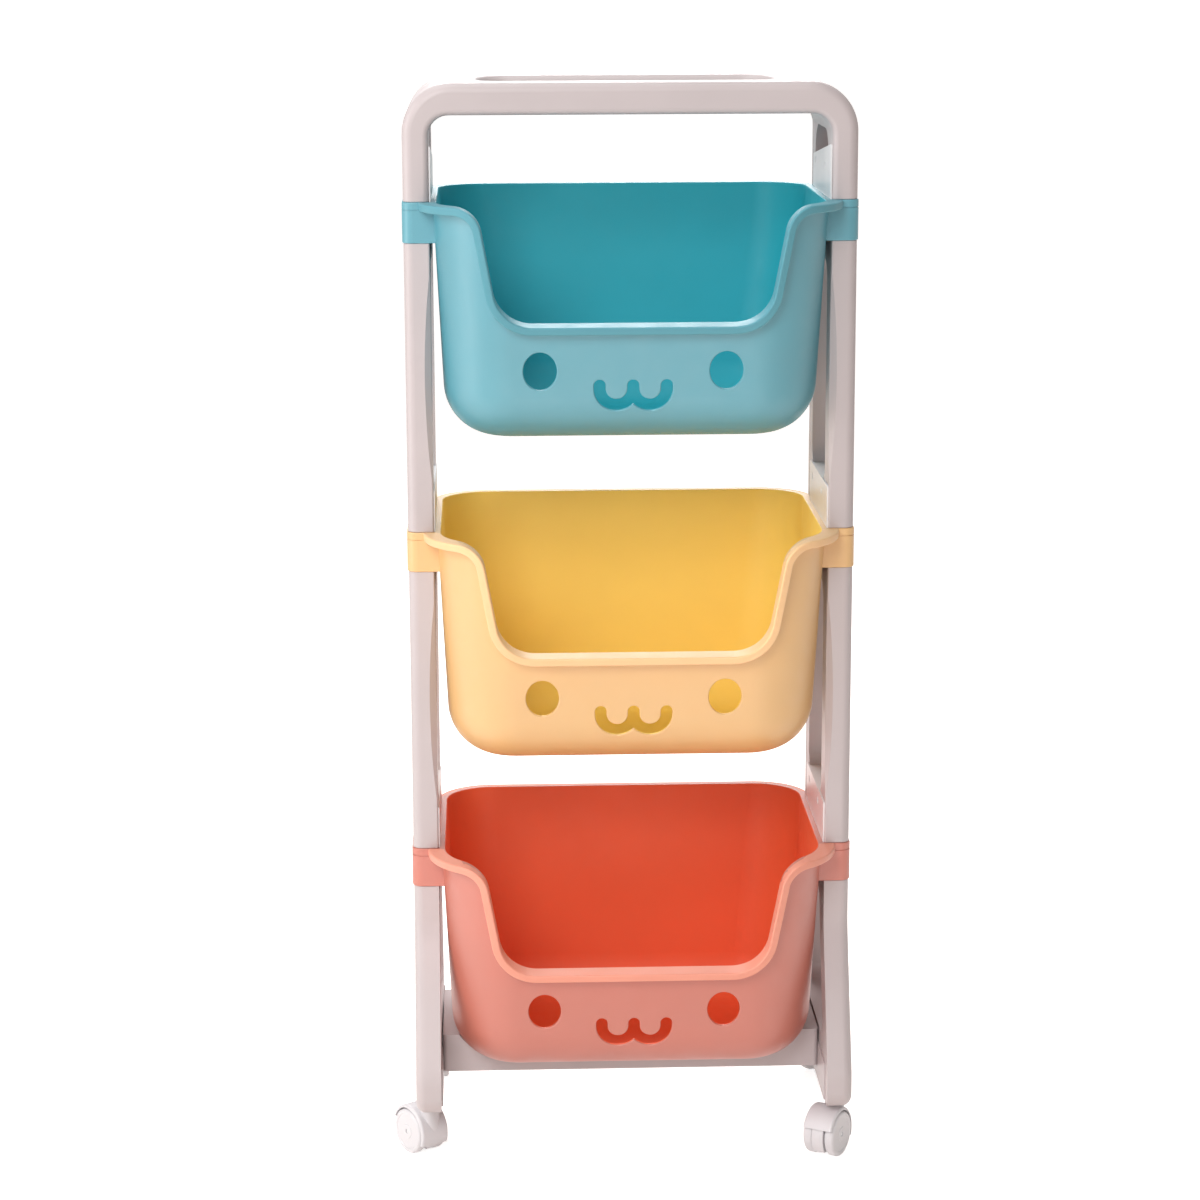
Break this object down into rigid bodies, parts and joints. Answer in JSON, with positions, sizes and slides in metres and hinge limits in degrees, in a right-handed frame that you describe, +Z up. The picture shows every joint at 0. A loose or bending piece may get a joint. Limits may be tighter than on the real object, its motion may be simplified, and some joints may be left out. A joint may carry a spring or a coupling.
{
  "type": "rolling storage cart",
  "caption": "Rolling storage cart for a child's room: moulded baskets with a front mouth and cut-out face, stacked between white side frames, with a loop handle and swivel casters.",
  "frame": {"origin": "on the floor, under the middle of the cart's outline", "axes": "+Z up, -Y towards the front, where the mouths are, +X to the right seen from the front"},
  "size_m": [0.4214, 0.279, 0.935],
  "materials": {
    "frame_white": "moulded, satin",
    "rail_white": "moulded, smooth",
    "basket_blue": "moulded, smooth",
    "basket_yellow": "moulded, smooth",
    "basket_coral": "moulded, smooth",
    "caster_white": "moulded, smooth",
    "steel": "zinc plated"
  },
  "bodies": {
    "cart_frame": {"top_handle": "frame_white", "base_tray": "frame_white", "rail_screws": "steel", "base_screws": "steel", "basket_bottom": "basket_coral", "side_rail_bottom_left": "rail_white", "side_rail_bottom_right": "rail_white", "basket_middle": "basket_yellow", "side_rail_middle_left": "rail_white", "side_rail_middle_right": "rail_white", "basket_top": "basket_blue", "side_rail_top_left": "rail_white", "side_rail_top_right": "rail_white", "side_panel_lower_left": "frame_white", "side_panel_lower_right": "frame_white", "side_panel_upper_left": "frame_white", "side_panel_upper_right": "frame_white", "leg_frame_left": "frame_white", "leg_frame_right": "frame_white", "caster_front_left_socket": "caster_white", "caster_front_right_socket": "caster_white", "caster_rear_left_socket": "caster_white", "caster_rear_right_socket": "caster_white"},
    "caster_front_left_swivel": {"caster_front_left_stem": "steel", "caster_front_left_hood": "caster_white"},
    "caster_front_left_wheels": {"caster_front_left_axle": "steel", "caster_front_left_wheel_left": "caster_white", "caster_front_left_wheel_right": "caster_white"},
    "caster_front_right_swivel": {"caster_front_right_stem": "steel", "caster_front_right_hood": "caster_white"},
    "caster_front_right_wheels": {"caster_front_right_axle": "steel", "caster_front_right_wheel_left": "caster_white", "caster_front_right_wheel_right": "caster_white"},
    "caster_rear_left_swivel": {"caster_rear_left_stem": "steel", "caster_rear_left_hood": "caster_white"},
    "caster_rear_left_wheels": {"caster_rear_left_axle": "steel", "caster_rear_left_wheel_left": "caster_white", "caster_rear_left_wheel_right": "caster_white"},
    "caster_rear_right_swivel": {"caster_rear_right_stem": "steel", "caster_rear_right_hood": "caster_white"},
    "caster_rear_right_wheels": {"caster_rear_right_axle": "steel", "caster_rear_right_wheel_left": "caster_white", "caster_rear_right_wheel_right": "caster_white"}
  },
  "joints": [
    {"name": "caster_front_left_turn", "type": "hinge", "parent": "cart_frame", "child": "caster_front_left_swivel", "pos_m": [-0.179, -0.08048, 0.046], "axis": [0, 0, 1], "continuous": true},
    {"name": "caster_front_left_roll", "type": "hinge", "parent": "caster_front_left_swivel", "child": "caster_front_left_wheels", "pos_m": [-0.1876, -0.06819, 0.02], "axis": [0.8192, 0.5736, 0], "continuous": true},
    {"name": "caster_front_right_turn", "type": "hinge", "parent": "cart_frame", "child": "caster_front_right_swivel", "pos_m": [0.179, -0.08048, 0.046], "axis": [0, 0, 1], "continuous": true},
    {"name": "caster_front_right_roll", "type": "hinge", "parent": "caster_front_right_swivel", "child": "caster_front_right_wheels", "pos_m": [0.17127, -0.09333, 0.02], "axis": [-0.8572, 0.515, 0], "continuous": true},
    {"name": "caster_rear_left_turn", "type": "hinge", "parent": "cart_frame", "child": "caster_rear_left_swivel", "pos_m": [-0.179, 0.09952, 0.046], "axis": [0, 0, 1], "continuous": true},
    {"name": "caster_rear_left_roll", "type": "hinge", "parent": "caster_rear_left_swivel", "child": "caster_rear_left_wheels", "pos_m": [-0.179, 0.11452, 0.02], "axis": [1, 0, 0], "continuous": true},
    {"name": "caster_rear_right_turn", "type": "hinge", "parent": "cart_frame", "child": "caster_rear_right_swivel", "pos_m": [0.179, 0.09952, 0.046], "axis": [0, 0, 1], "continuous": true},
    {"name": "caster_rear_right_roll", "type": "hinge", "parent": "caster_rear_right_swivel", "child": "caster_rear_right_wheels", "pos_m": [0.1876, 0.11181, 0.02], "axis": [0.8192, -0.5736, 0], "continuous": true}
  ]
}
